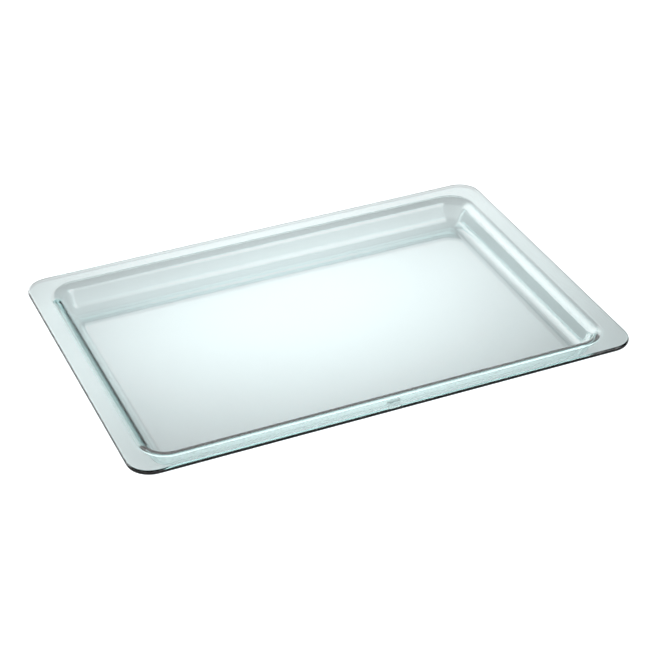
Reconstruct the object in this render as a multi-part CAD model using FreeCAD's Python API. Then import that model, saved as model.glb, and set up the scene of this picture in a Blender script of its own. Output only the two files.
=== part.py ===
"""Pressed glass baking tray: one closed solid with a wide rim and a shallow basin.

Frame: millimetres, origin at the centre of the underside of the base, +X along the
long side, +Y across, +Z up.  The section of the rim and basin wall is drawn once.
It is extruded along the four straight sides and revolved round the four corners.
"""
import FreeCAD, Part
import math
import os

from FreeCAD import Vector

# Overall size
LENGTH = 455.0
WIDTH = 320.0
BASIN_DEPTH = 23.2
BASE_THICKNESS = 3.8

# Rim
RIM_THICKNESS = 4.3
RIM_WIDTH = 15.5
OUTER_CORNER_RADIUS = 21.0
EDGE_RADIUS = 1.8

# Basin wall, with all angles measured from the vertical
WALL_THICKNESS = 5.4
WALL_ANGLE = 25.0
OPENING_CORNER_RADIUS = 26.0
SHOULDER_RADIUS = 11.5
UNDER_RIM_RADIUS = 7.5
FLOOR_FILLET = 10.5
BASE_FILLET = 15.3

# Maker's panel: a plain recessed bar in the middle of the front rim
PANEL_LENGTH = 13.0
PANEL_WIDTH = 5.0
PANEL_DEPTH = 0.3
PANEL_INSET = 9.0

# Modelling allowances: how far the rim's root runs into the plain rim, what is left
# of the panel's straight ends, and how closely an edge must lie at a level or upright
ROOT_OVERLAP = 0.5
END_FLAT = 0.02
LEVEL_TOLERANCE = 1e-6
UPRIGHT = 0.99

# Derived heights
HEIGHT = BASIN_DEPTH + BASE_THICKNESS
RIM_UNDERSIDE = HEIGHT - RIM_THICKNESS
WALL_TILT = math.radians(WALL_ANGLE)

# The corner axes, which the whole basin section turns about
AXIS_X = LENGTH / 2 - RIM_WIDTH - OPENING_CORNER_RADIUS
AXIS_Y = WIDTH / 2 - RIM_WIDTH - OPENING_CORNER_RADIUS


def arc_points(centre, radius, start_deg, end_deg):
    """Start, middle and end of an arc in the section plane, as (s, z) pairs."""
    angles = (start_deg, (start_deg + end_deg) / 2, end_deg)
    return [(centre[0] + radius * math.cos(math.radians(a)),
             centre[1] + radius * math.sin(math.radians(a))) for a in angles]


def wall_arc_centre(wall_point, z_centre, radius, side):
    """Centre at height z_centre whose circle touches the sloped wall line.

    side is +1 when the centre lies outside the basin and -1 when it lies inside.
    """
    offset = side * radius + (z_centre - wall_point[1]) * math.sin(WALL_TILT)
    return wall_point[0] + offset / math.cos(WALL_TILT), z_centre


def section():
    """Closed section of floor edge, wall and rim root, with s measured outward
    from the corner axis.  Returns its edges and the s where the plain rim begins.
    """
    shoulder = (OPENING_CORNER_RADIUS, HEIGHT - SHOULDER_RADIUS)
    inside_top = arc_points(shoulder, SHOULDER_RADIUS, 180 - WALL_ANGLE, 90)
    inner_wall = inside_top[0]

    floor_centre = wall_arc_centre(inner_wall, BASE_THICKNESS + FLOOR_FILLET, FLOOR_FILLET, -1)
    inside_floor = arc_points(floor_centre, FLOOR_FILLET, 270, 360 - WALL_ANGLE)

    outer_wall = (inner_wall[0] + WALL_THICKNESS * math.cos(WALL_TILT),
                  inner_wall[1] - WALL_THICKNESS * math.sin(WALL_TILT))
    under_centre = wall_arc_centre(outer_wall, RIM_UNDERSIDE - UNDER_RIM_RADIUS,
                                   UNDER_RIM_RADIUS, 1)
    under_rim = arc_points(under_centre, UNDER_RIM_RADIUS, 90, 180 - WALL_ANGLE)

    base_centre = wall_arc_centre(outer_wall, BASE_FILLET, BASE_FILLET, -1)
    base_edge = arc_points(base_centre, BASE_FILLET, 360 - WALL_ANGLE, 270)

    rim_start = max(under_rim[0][0], OPENING_CORNER_RADIUS) + ROOT_OVERLAP
    path = [[(0, BASE_THICKNESS), inside_floor[0]],
            inside_floor,
            [inside_floor[2], inside_top[0]],
            inside_top,
            [inside_top[2], (rim_start, HEIGHT)],
            [(rim_start, HEIGHT), (rim_start, RIM_UNDERSIDE)],
            [(rim_start, RIM_UNDERSIDE), under_rim[0]],
            under_rim,
            [under_rim[2], base_edge[0]],
            base_edge,
            [base_edge[2], (0, 0)],
            [(0, 0), (0, BASE_THICKNESS)]]
    return path, rim_start


def section_face(place):
    """Face bounded by the section, with place(s, z) giving each point in space."""
    path, _ = section()
    edges = []
    for step in path:
        points = [place(s, z) for s, z in step]
        if len(points) == 3:
            edges.append(Part.Arc(*points).toShape())
        else:
            edges.append(Part.makeLine(*points))
    return Part.Face(Part.Wire(edges))


def rounded_plate(half_x, half_y, radius, thickness, z):
    """Plate with rounded corners, centred on the Z axis and resting at height z."""
    plate = Part.makeBox(2 * half_x, 2 * half_y, thickness, Vector(-half_x, -half_y, z))
    corners = [e for e in plate.Edges if abs(e.tangentAt(e.FirstParameter).z) > UPRIGHT]
    return plate.makeFillet(radius, corners)


def at_level(edge, z):
    """True where the whole edge lies in the horizontal plane at height z."""
    box = edge.BoundBox
    return box.ZLength < LEVEL_TOLERANCE and abs(box.ZMin - z) < LEVEL_TOLERANCE


def basin_sides():
    """The four straight stretches of rim root, wall and floor edge."""
    right = section_face(lambda s, z: Vector(AXIS_X + s, -AXIS_Y, z))
    back = section_face(lambda s, z: Vector(-AXIS_X, AXIS_Y + s, z))
    long_side = back.extrude(Vector(2 * AXIS_X, 0, 0))
    short_side = right.extrude(Vector(0, 2 * AXIS_Y, 0))
    sides = [long_side, short_side]
    for side in (long_side, short_side):
        turned = side.copy()
        turned.rotate(Vector(0, 0, 0), Vector(0, 0, 1), 180)
        sides.append(turned)
    return sides


def basin_corners():
    """The four corners, each the section turned a quarter round a corner axis."""
    corners = []
    for turn, (sign_x, sign_y) in enumerate(((1, 1), (-1, 1), (-1, -1), (1, -1))):
        centre = Vector(sign_x * AXIS_X, sign_y * AXIS_Y, 0)
        face = section_face(lambda s, z: Vector(centre.x + s, centre.y, z))
        face.rotate(centre, Vector(0, 0, 1), 90 * turn)
        corners.append(face.revolve(centre, Vector(0, 0, 1), 90))
    return corners


def rim_plate():
    """The plain outer part of the rim, with its edge rounded above and below."""
    plate = rounded_plate(LENGTH / 2, WIDTH / 2, OUTER_CORNER_RADIUS, RIM_THICKNESS, RIM_UNDERSIDE)
    outline = [e for e in plate.Edges if at_level(e, RIM_UNDERSIDE) or at_level(e, HEIGHT)]
    plate = plate.makeFillet(EDGE_RADIUS, outline)
    _, rim_start = section()
    return plate.cut(rounded_plate(AXIS_X + rim_start, AXIS_Y + rim_start, rim_start,
                                   RIM_THICKNESS, RIM_UNDERSIDE))


def panel_recess():
    """Shallow bar with round ends, taken out of the top of the front rim."""
    bar = rounded_plate(PANEL_LENGTH / 2, PANEL_WIDTH / 2, (PANEL_WIDTH - END_FLAT) / 2,
                        PANEL_DEPTH, HEIGHT - PANEL_DEPTH)
    return bar.translated(Vector(0, -WIDTH / 2 + PANEL_INSET, 0))


def glass_tray():
    """The whole tray as one solid."""
    floor = Part.makeBox(2 * AXIS_X, 2 * AXIS_Y, BASE_THICKNESS, Vector(-AXIS_X, -AXIS_Y, 0))
    body = floor.multiFuse(basin_sides() + basin_corners() + [rim_plate()])
    body = body.removeSplitter().cut(panel_recess())
    return body.Solids[0]


os.makedirs("parts", exist_ok=True)
tray = glass_tray()
tray.exportStep("parts/glass_tray.step")
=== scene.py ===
"""Clear pressed-glass baking tray on a pale studio floor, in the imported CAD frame."""

import math

import bmesh
import bpy
from mathutils import Matrix, Vector


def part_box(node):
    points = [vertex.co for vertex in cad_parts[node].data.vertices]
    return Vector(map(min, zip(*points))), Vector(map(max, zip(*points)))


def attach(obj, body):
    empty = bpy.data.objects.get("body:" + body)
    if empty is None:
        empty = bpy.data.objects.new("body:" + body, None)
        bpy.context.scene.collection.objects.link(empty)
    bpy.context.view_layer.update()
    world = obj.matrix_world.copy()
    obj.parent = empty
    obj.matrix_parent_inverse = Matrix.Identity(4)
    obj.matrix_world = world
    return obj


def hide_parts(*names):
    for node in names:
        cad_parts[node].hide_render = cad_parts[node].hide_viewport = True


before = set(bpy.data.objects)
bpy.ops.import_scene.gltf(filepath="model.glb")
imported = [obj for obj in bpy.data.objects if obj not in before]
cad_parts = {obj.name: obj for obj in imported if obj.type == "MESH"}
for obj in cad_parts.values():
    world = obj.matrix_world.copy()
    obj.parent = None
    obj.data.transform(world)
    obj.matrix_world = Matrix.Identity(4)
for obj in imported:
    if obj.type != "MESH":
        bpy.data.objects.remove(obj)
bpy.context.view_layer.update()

MM = 0.001
NODE = "glass_tray"

# Section, corners and panel in mm, as in the CAD; overall sizes come from the node's box
RIM_THICKNESS = 4.3
RIM_WIDTH = 15.5
OUTER_CORNER_RADIUS = 21.0
EDGE_RADIUS = 1.8
BASE_THICKNESS = 3.8
WALL_THICKNESS = 5.4
WALL_ANGLE = math.radians(25.0)
OPENING_CORNER_RADIUS = 26.0
SHOULDER_RADIUS = 11.5
UNDER_RIM_RADIUS = 7.5
FLOOR_FILLET = 10.5
BASE_FILLET = 15.3
PANEL_LENGTH = 13.0
PANEL_WIDTH = 5.0
PANEL_DEPTH = 0.3
PANEL_INSET = 9.0
PANEL_BEVEL = 0.7

# Facets along each curve of the section, round each corner and round the panel
ARC_STEPS = 20
EDGE_STEPS = 8
CORNER_STEPS = 28
PANEL_END_STEPS = 14
PANEL_RINGS = 7

low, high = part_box(NODE)
LENGTH = (high[0] - low[0]) / MM
WIDTH = (high[1] - low[1]) / MM
HEIGHT = (high[2] - low[2]) / MM


# ---------------------------------------------------------------- tray mesh

def arc(centre, radius, start, end, steps, outward):
    """Points and unit normals along an arc of the section, d measured inward.

    outward is +1 where the glass is on the arc's inner side, -1 where it is outside.
    """
    rows = []
    for i in range(steps + 1):
        a = start + (end - start) * i / steps
        c, s = math.cos(a), math.sin(a)
        rows.append((centre[0] + radius * c, centre[1] + radius * s, outward * c, outward * s))
    return rows


def touching_centre(point, z, radius, side):
    """d of the circle centre at height z that touches the sloped line through point."""
    return point[0] + (side * radius - (z - point[1]) * math.sin(WALL_ANGLE)) / math.cos(WALL_ANGLE)


def section():
    """Section from the floor's inner edge, over the rim and back under to the base.

    Each row is (d, z, nd, nz): d inward from the rim's outer edge, then the normal.
    """
    up, wall = math.pi / 2, WALL_ANGLE
    shoulder = arc((RIM_WIDTH, HEIGHT - SHOULDER_RADIUS), SHOULDER_RADIUS, wall, up, ARC_STEPS, 1)
    z_floor = BASE_THICKNESS + FLOOR_FILLET
    d_floor = touching_centre(shoulder[0], z_floor, FLOOR_FILLET, 1)
    floor_arc = arc((d_floor, z_floor), FLOOR_FILLET, -up, -math.pi + wall, ARC_STEPS, -1)

    outer = (shoulder[0][0] - WALL_THICKNESS * math.cos(wall),
             shoulder[0][1] - WALL_THICKNESS * math.sin(wall))
    under_z = HEIGHT - RIM_THICKNESS
    z_under = under_z - UNDER_RIM_RADIUS
    d_under = touching_centre(outer, z_under, UNDER_RIM_RADIUS, -1)
    under_arc = arc((d_under, z_under), UNDER_RIM_RADIUS, up, wall, ARC_STEPS, -1)
    d_base = touching_centre(outer, BASE_FILLET, BASE_FILLET, 1)
    base_arc = arc((d_base, BASE_FILLET), BASE_FILLET, -math.pi + wall, -up, ARC_STEPS, 1)

    r = EDGE_RADIUS
    edge_top = arc((r, HEIGHT - r), r, up, math.pi, EDGE_STEPS, 1)
    edge_low = arc((r, under_z + r), r, math.pi, 3 * up, EDGE_STEPS, 1)
    return floor_arc, shoulder, edge_top, edge_low, under_arc, base_arc


def ring(row, corner_radius):
    """Closed loop of (position, normal) at one section row, from the +X -Y corner round to +Y.

    The back and front sides each get two columns, one panel length either side of the middle.
    """
    d, z, nd, nz = row
    half_x, half_y = LENGTH / 2 - d, WIDTH / 2 - d
    loop = []
    for sx, sy, start in ((1, -1, -90), (1, 1, 0), (-1, 1, 90), (-1, -1, 180)):
        for i in range(CORNER_STEPS + 1):
            a = math.radians(start + 90 * i / CORNER_STEPS)
            c, s = math.cos(a), math.sin(a)
            x = sx * (half_x - corner_radius) + corner_radius * c
            y = sy * (half_y - corner_radius) + corner_radius * s
            loop.append((Vector((x, y, z)) * MM, Vector((-nd * c, -nd * s, nz))))
        if sx == sy:
            for x in (sx * PANEL_LENGTH, -sx * PANEL_LENGTH):
                loop.append((Vector((x, sy * half_y, z)) * MM, Vector((0, -nd * sy, nz))))
    return loop


def stadium(offset, depth, tilt):
    """Loop of the panel's outline, pulled in by offset, sunk by depth, normals tilted inward."""
    r = PANEL_WIDTH / 2 - offset
    centre_x = PANEL_LENGTH / 2 - PANEL_WIDTH / 2
    y0 = -WIDTH / 2 + PANEL_INSET
    loop = []
    for side, start in ((1, -90), (-1, 90)):
        for i in range(PANEL_END_STEPS + 1):
            a = math.radians(start + 180 * i / PANEL_END_STEPS)
            c, s = math.cos(a), math.sin(a)
            place = Vector((side * centre_x + r * c, y0 + r * s, HEIGHT - depth)) * MM
            loop.append((place, Vector((-c * math.sin(tilt), -s * math.sin(tilt), math.cos(tilt)))))
    return loop


class Skin:
    """Vertices with their exact normals, and the faces between them."""

    def __init__(self):
        self.points, self.normals, self.faces = [], [], []

    def add(self, loop):
        first = len(self.points)
        self.points += [p for p, _ in loop]
        self.normals += [n.normalized() for _, n in loop]
        return list(range(first, first + len(loop)))

    def bridge(self, a, b, skip=()):
        """Quads from loop a to loop b, further from the middle on top and nearer it below."""
        n = len(a)
        for i in range(n):
            j = (i + 1) % n
            if i not in skip:
                self.faces.append((a[i], b[i], b[j], a[j]))

    def mesh(self, name):
        mesh = bpy.data.meshes.new(name)
        mesh.from_pydata(self.points, [], self.faces)
        mesh.update()
        mesh.polygons.foreach_set("use_smooth", [True] * len(mesh.polygons))
        mesh.normals_split_custom_set_from_vertices(self.normals)
        mesh.validate(clean_customdata=False)
        return mesh


def concentric(row):
    """Corner radius of a row of the basin, inside or under: all turn about one corner axis."""
    return OPENING_CORNER_RADIUS - (row[0] - RIM_WIDTH)


def panel_recess(skin, inner, outer, at):
    """Fills the front rim between its two columns, round a shallow recess with round ends.

    inner and outer are the loops along the rim, and at is the -X column's place in both.
    """
    rings = []
    for i in range(PANEL_RINGS + 1):
        t = i / PANEL_RINGS
        # A smooth step down and its slope
        depth = PANEL_DEPTH * (3 * t * t - 2 * t ** 3)
        slope = PANEL_DEPTH / PANEL_BEVEL * 6 * t * (1 - t)
        rings.append(skin.add(stadium(PANEL_BEVEL * t, depth, math.atan(slope))))
    for a, b in zip(rings[1:], rings):
        skin.bridge(a, b)
    skin.faces.append(tuple(rings[-1]))

    left_in, right_in, left_out, right_out = inner[at], inner[at + 1], outer[at], outer[at + 1]
    edge = rings[0]
    half = PANEL_END_STEPS
    quarter = half // 2
    right_end, left_end = edge[:half + 1], edge[half + 1:]
    for i in range(half):
        corner = right_out if i < quarter else right_in
        skin.faces.append((corner, right_end[i + 1], right_end[i]))
        corner = left_in if i < quarter else left_out
        skin.faces.append((corner, left_end[i + 1], left_end[i]))
    skin.faces.append((right_in, right_end[quarter], right_out))
    skin.faces.append((left_out, left_end[quarter], left_in))
    skin.faces.append((left_in, left_end[0], right_end[-1], right_in))
    skin.faces.append((right_out, right_end[0], left_end[-1], left_out))


def tray_mesh():
    """The tray's whole skin, closed, in one mesh."""
    floor_arc, shoulder, edge_top, edge_low, under_arc, base_arc = section()
    skin = Skin()
    chain = [skin.add(ring(row, concentric(row))) for row in floor_arc + shoulder]
    inner_rim = len(chain) - 1
    for row in edge_top + edge_low:
        chain.append(skin.add(ring(row, OUTER_CORNER_RADIUS - row[0])))
    chain += [skin.add(ring(row, concentric(row))) for row in under_arc + base_arc]

    # Each loop ends with the front side's two columns; the rim is left open there for the panel
    front = len(chain[0]) - 2
    for i, (a, b) in enumerate(zip(chain, chain[1:])):
        skin.bridge(a, b, skip=(front,) if i == inner_rim else ())
    skin.faces.append(tuple(chain[0]))
    skin.faces.append(tuple(reversed(chain[-1])))
    panel_recess(skin, chain[inner_rim], chain[inner_rim + 1], front)
    return skin.mesh("glass_tray_visual")


# ---------------------------------------------------------------- glass

def node(tree, kind, **values):
    """A shader node with its plain properties set."""
    made = tree.nodes.new(kind)
    for key, value in values.items():
        setattr(made, key, value)
    return made


def axes(tree, vector):
    """The X, Y and Z of a vector, by name."""
    made = node(tree, "ShaderNodeSeparateXYZ")
    tree.links.new(vector, made.inputs[0])
    return made.outputs


def noise(tree, vector, scale, detail, roughness=0.5):
    """Soft noise around a half, finer with more detail and roughness."""
    made = node(tree, "ShaderNodeTexNoise")
    made.inputs["Scale"].default_value = scale
    made.inputs["Detail"].default_value = detail
    made.inputs["Roughness"].default_value = roughness
    tree.links.new(vector, made.inputs["Vector"])
    return made.outputs["Fac"]


def math_node(tree, operation, *inputs):
    """One arithmetic step on plain numbers or other nodes' outputs."""
    made = node(tree, "ShaderNodeMath", operation=operation)
    for socket, value in zip(made.inputs, inputs):
        if isinstance(value, (int, float)):
            socket.default_value = value
        else:
            tree.links.new(value, socket)
    return made.outputs[0]


def ramp(tree, value, start, end, low_value, high_value):
    """Smooth change from low_value at start to high_value at end, level beyond them."""
    made = node(tree, "ShaderNodeMapRange", interpolation_type="SMOOTHSTEP")
    made.inputs["From Min"].default_value = start
    made.inputs["From Max"].default_value = end
    made.inputs["To Min"].default_value = low_value
    made.inputs["To Max"].default_value = high_value
    tree.links.new(value, made.inputs["Value"])
    return made.outputs[0]


# Glass: the tint and density of its absorption, per metre, give the green of the thick edges
GLASS_IOR = 1.52
GLASS_TINT = (0.22, 0.80, 0.79, 1.0)
GLASS_DENSITY = 32.0

# Pressing waviness, in metres of height, over waves a few centimetres long
WAVE_SCALE = 14.0
WAVE_DETAIL = 1.5
WAVE_FINENESS = 0.4
WAVE_HEIGHT = 0.00005
# Oven and dishwasher wear: thin smudges, where the noise is in SMUDGE_RANGE and above
SMUDGE_SCALE = 9.0
SMUDGE_DETAIL = 4.0
SMUDGE_RANGE = (0.45, 0.8)
SMUDGE_ROUGHNESS = 0.02
# A fine haze of scratches on the basin floor; the turn takes the noise's grid off the tray's axes
SCRATCH_SCALE = 60.0
SCRATCH_DETAIL = 5.0
SCRATCH_FINENESS = 0.65
SCRATCH_RANGE = (0.5, 0.75)
SCRATCH_STRETCH = (1.0, 14.0, 1.0)
SCRATCH_TURN = math.radians(8)
SCRATCH_ROUGHNESS = 0.035
# The frosted panel, on the top face only: from nothing to full between these depths in mm
PANEL_ROUGHNESS = 0.65
PANEL_MASK_BOTTOM = 1.5
PANEL_MASK_FULL = 1.0
# Heights about the basin floor's top face, in mm, over which its scratches come and go
BASIN_MASK_RISE = (-1.0, -0.5)
BASIN_MASK_FALL = (0.5, 3.0)


def panel_mask(tree, place):
    """One inside the front rim's recessed panel, nought outside, with a soft border."""
    parts = axes(tree, place)
    half = (PANEL_LENGTH - PANEL_WIDTH) / 2 * MM
    along = math_node(tree, "SUBTRACT", math_node(tree, "ABSOLUTE", parts["X"]), half)
    along = math_node(tree, "MAXIMUM", along, 0.0)
    across = math_node(tree, "ADD", parts["Y"], (WIDTH / 2 - PANEL_INSET) * MM)
    square = math_node(tree, "ADD", math_node(tree, "MULTIPLY", along, along),
                       math_node(tree, "MULTIPLY", across, across))
    distance = math_node(tree, "SQRT", square)
    radius = PANEL_WIDTH / 2
    inside = ramp(tree, distance, (radius - PANEL_BEVEL) * MM, radius * MM, 1.0, 0.0)
    bottom, full = ((HEIGHT - depth) * MM for depth in (PANEL_MASK_BOTTOM, PANEL_MASK_FULL))
    on_top = ramp(tree, parts["Z"], bottom, full, 0.0, 1.0)
    return math_node(tree, "MULTIPLY", inside, on_top)


def basin_mask(tree, place):
    """One on the top face of the basin floor, nought on the walls, rim and underside."""
    height = axes(tree, place)["Z"]
    rise = [(BASE_THICKNESS + offset) * MM for offset in BASIN_MASK_RISE]
    fall = [(BASE_THICKNESS + offset) * MM for offset in BASIN_MASK_FALL]
    return math_node(tree, "MULTIPLY", ramp(tree, height, *rise, 0.0, 1.0),
                     ramp(tree, height, *fall, 1.0, 0.0))


def scratches(tree, place):
    """Fine scuffs drawn out along the tray's length: one where worn, nought where clear."""
    stretched = node(tree, "ShaderNodeMapping")
    stretched.inputs["Scale"].default_value = SCRATCH_STRETCH
    stretched.inputs["Rotation"].default_value = (0, 0, SCRATCH_TURN)
    tree.links.new(place, stretched.inputs["Vector"])
    grain = noise(tree, stretched.outputs[0], SCRATCH_SCALE, SCRATCH_DETAIL, SCRATCH_FINENESS)
    return ramp(tree, grain, *SCRATCH_RANGE, 0.0, 1.0)


def glass_material():
    """Slightly green pressed soda-lime glass, fire polished, with light use wear."""
    mat = bpy.data.materials.new("pressed_clear_glass")
    mat.use_nodes = True
    tree = mat.node_tree
    shader = tree.nodes["Principled BSDF"]
    shader.inputs["Base Color"].default_value = (1, 1, 1, 1)
    shader.inputs["Transmission Weight"].default_value = 1.0
    shader.inputs["IOR"].default_value = GLASS_IOR

    place = node(tree, "ShaderNodeTexCoord").outputs["Object"]
    waves = noise(tree, place, WAVE_SCALE, WAVE_DETAIL, WAVE_FINENESS)
    bump = node(tree, "ShaderNodeBump")
    bump.inputs["Strength"].default_value = 1.0
    bump.inputs["Distance"].default_value = WAVE_HEIGHT
    tree.links.new(waves, bump.inputs["Height"])
    tree.links.new(bump.outputs["Normal"], shader.inputs["Normal"])

    smudge = noise(tree, place, SMUDGE_SCALE, SMUDGE_DETAIL)
    smudge = ramp(tree, smudge, *SMUDGE_RANGE, 0.0, SMUDGE_ROUGHNESS)
    wear = math_node(tree, "MULTIPLY", scratches(tree, place), basin_mask(tree, place))
    wear = math_node(tree, "MULTIPLY", wear, SCRATCH_ROUGHNESS)
    frosting = math_node(tree, "MULTIPLY", panel_mask(tree, place), PANEL_ROUGHNESS)
    roughness = math_node(tree, "ADD", math_node(tree, "ADD", smudge, wear), frosting)
    tree.links.new(roughness, shader.inputs["Roughness"])

    absorb = node(tree, "ShaderNodeVolumeAbsorption")
    absorb.inputs["Color"].default_value = GLASS_TINT
    absorb.inputs["Density"].default_value = GLASS_DENSITY
    tree.links.new(absorb.outputs["Volume"], tree.nodes["Material Output"].inputs["Volume"])
    return mat


tray = bpy.data.objects.new("glass_tray_pressing", tray_mesh())
bpy.context.scene.collection.objects.link(tray)
tray.data.materials.append(glass_material())
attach(tray, "root")
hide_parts(NODE)


# ---------------------------------------------------------------- studio

# Floor disc in metres, with a faint mottle in its grey where the noise crosses MOTTLE_RANGE
FLOOR_RADIUS = 2.6
FLOOR_SEGMENTS = 96
FLOOR_GAP = 0.0003
FLOOR_ALBEDO_LOW = 0.48
FLOOR_ALBEDO_HIGH = 0.52
MOTTLE_SCALE = 3.0
MOTTLE_DETAIL = 2.0
MOTTLE_RANGE = (0.3, 0.7)
# What the camera sees straight on, past the tray: the floor's painted glow and the room, both plain
# white
BACKDROP_WHITE = 1.0
# Float sockets of a Mix node: its factor, and what it gives at factor nought and at one
MIX_FACTOR, MIX_AT_NOUGHT, MIX_AT_ONE = 0, 2, 3
# Painted light on the floor under the tray: a painted pool of light in the middle, given by its
# centre and half axes in metres, fading to painted shade towards the tray's walls and rim; the full
# and edge distances count those half axes, and the middle and outside values are strengths
PAINTED_POOL_COLOR = (0.96, 1.0, 1.02, 1.0)
PAINTED_POOL_CENTRE = (0.0, 0.05)
PAINTED_POOL_HALF_AXES = (0.27, 0.18)
PAINTED_POOL_FULL, PAINTED_POOL_EDGE = 0.1, 1.25
PAINTED_POOL_MIDDLE, PAINTED_POOL_OUTSIDE = 0.67, 0.24


def white_to_camera(tree, light):
    """BACKDROP_WHITE for rays straight from the camera, light for every other ray."""
    switch = node(tree, "ShaderNodeMix", data_type="FLOAT")
    camera_ray = node(tree, "ShaderNodeLightPath").outputs["Is Camera Ray"]
    tree.links.new(camera_ray, switch.inputs[MIX_FACTOR])
    tree.links.new(light, switch.inputs[MIX_AT_NOUGHT])
    switch.inputs[MIX_AT_ONE].default_value = BACKDROP_WHITE
    return switch.outputs[0]


def painted_light_pool(tree, place):
    """Strength of the painted light from below: a painted pool of light under the tray's middle,
    falling off softly to painted shade towards its walls and rim.
    """
    parts = axes(tree, place)
    squares = []
    for axis, centre, half in zip("XY", PAINTED_POOL_CENTRE, PAINTED_POOL_HALF_AXES):
        offset = math_node(tree, "SUBTRACT", parts[axis], centre)
        offset = math_node(tree, "DIVIDE", offset, half)
        squares.append(math_node(tree, "MULTIPLY", offset, offset))
    distance = math_node(tree, "SQRT", math_node(tree, "ADD", *squares))
    return ramp(tree, distance, PAINTED_POOL_FULL, PAINTED_POOL_EDGE, PAINTED_POOL_MIDDLE, PAINTED_POOL_OUTSIDE)


def floor_material():
    """Matt pale grey, glowing from below with painted light: a pool under the tray, fading to
    painted shade towards its walls.
    """
    mat = bpy.data.materials.new("pale_floor")
    mat.use_nodes = True
    tree = mat.node_tree
    shader = tree.nodes["Principled BSDF"]
    shader.inputs["Roughness"].default_value = 1.0
    shader.inputs["Specular IOR Level"].default_value = 0.0
    shader.inputs["Emission Color"].default_value = PAINTED_POOL_COLOR
    place = node(tree, "ShaderNodeTexCoord").outputs["Object"]
    # Painted light: the glow's pool under the tray's middle and its fall-off stand in for the
    # tray's shade on the floor
    painted_glow = white_to_camera(tree, painted_light_pool(tree, place))
    tree.links.new(painted_glow, shader.inputs["Emission Strength"])
    mottle = noise(tree, place, MOTTLE_SCALE, MOTTLE_DETAIL)
    albedo = ramp(tree, mottle, *MOTTLE_RANGE, FLOOR_ALBEDO_LOW, FLOOR_ALBEDO_HIGH)
    tree.links.new(albedo, shader.inputs["Base Color"])
    return mat


def studio_floor():
    """A wide disc just under the base, glowing with painted light from below, white to the camera.
    """
    bm = bmesh.new()
    bmesh.ops.create_circle(bm, cap_ends=True, segments=FLOOR_SEGMENTS, radius=FLOOR_RADIUS)
    mesh = bpy.data.meshes.new("studio_floor")
    bm.to_mesh(mesh)
    bm.free()
    made = bpy.data.objects.new("studio_floor", mesh)
    made.location.z = -FLOOR_GAP
    bpy.context.scene.collection.objects.link(made)
    mesh.materials.append(floor_material())


def direction(azimuth, elevation):
    """Unit vector towards a compass direction: azimuth from +X, turning to +Y."""
    a, e = math.radians(azimuth), math.radians(elevation)
    return Vector((math.cos(a) * math.cos(e), math.sin(a) * math.cos(e), math.sin(e)))


# Radiance of the walls and ceiling, and the elevations in degrees where one fades into the other
WALL_LOW = 1.3
CEILING = 0.0
WALL_TOP = 14.0
CEILING_EDGE = 44.0
# Soft panels: azimuth, elevation, angle where full, angle where gone, all in degrees, and the
# radiance added; the last one takes light away
SOFT_PANELS = {
    "front": (-55.0, 33.0, 8.0, 23.0, 3.6),
    "back_left": (120.0, 15.0, 12.0, 42.0, 3.9),
    "back": (68.0, 32.0, 1.0, 13.0, 2.2),
    "dark_right": (8.0, 12.0, 15.0, 60.0, -1.3),
}


def studio_world():
    """Pale walls, dark ceiling and soft panels round the tray, all plain white to the camera."""
    world = bpy.data.worlds.new("studio")
    bpy.context.scene.world = world
    world.use_nodes = True
    tree = world.node_tree
    rays = node(tree, "ShaderNodeTexCoord").outputs["Generated"]
    light = ramp(tree, axes(tree, rays)["Z"], math.sin(math.radians(WALL_TOP)),
                 math.sin(math.radians(CEILING_EDGE)), WALL_LOW, CEILING)
    for azimuth, elevation, full, gone, radiance in SOFT_PANELS.values():
        facing = node(tree, "ShaderNodeVectorMath", operation="DOT_PRODUCT")
        facing.inputs[1].default_value = direction(azimuth, elevation)
        tree.links.new(rays, facing.inputs[0])
        panel_light = ramp(tree, facing.outputs["Value"], math.cos(math.radians(gone)),
                           math.cos(math.radians(full)), 0.0, radiance)
        light = math_node(tree, "ADD", light, panel_light)
    light = math_node(tree, "MAXIMUM", light, 0.0)
    tree.links.new(white_to_camera(tree, light), tree.nodes["Background"].inputs["Color"])


studio_floor()
studio_world()


# ---------------------------------------------------------------- camera

# Angles in degrees, lens and sensor in mm, the rest in metres
CAMERA_AZIMUTH = -22.54
CAMERA_ELEVATION = 32.83
CAMERA_ROLL = -1.31
CAMERA_DISTANCE = 1.708
CAMERA_OFFSET = (-0.00341, 0.01243)
CLIP_NEAR, CLIP_FAR = 0.05, 200
SENSOR_WIDTH = 36.0
LENS = 106.95


def main_camera():
    """Camera at the photograph's viewing angle.

    The middle of the rim's plane lands at CAMERA_OFFSET, right and up, from the picture's centre.
    """
    a, e, r = (math.radians(v) for v in (CAMERA_AZIMUTH, CAMERA_ELEVATION, CAMERA_ROLL))
    back = Vector((math.sin(a) * math.cos(e), -math.cos(a) * math.cos(e), math.sin(e)))
    right = Vector((math.cos(a), math.sin(a), 0))
    up = back.cross(right)
    rolled_right = right * math.cos(r) + up * math.sin(r)
    rolled_up = up * math.cos(r) - right * math.sin(r)
    data = bpy.data.cameras.new("main_camera")
    data.sensor_fit = "HORIZONTAL"
    data.sensor_width = SENSOR_WIDTH
    data.lens = LENS
    data.clip_start, data.clip_end = CLIP_NEAR, CLIP_FAR
    made = bpy.data.objects.new("main_camera", data)
    place = Matrix((rolled_right, rolled_up, back)).transposed().to_4x4()
    offset = rolled_right * CAMERA_OFFSET[0] + rolled_up * CAMERA_OFFSET[1]
    place.translation = Vector((0, 0, HEIGHT * MM)) - offset + back * CAMERA_DISTANCE
    made.matrix_world = place
    bpy.context.scene.collection.objects.link(made)
    bpy.context.scene.camera = made


main_camera()
bpy.context.scene.view_settings.view_transform = "Standard"
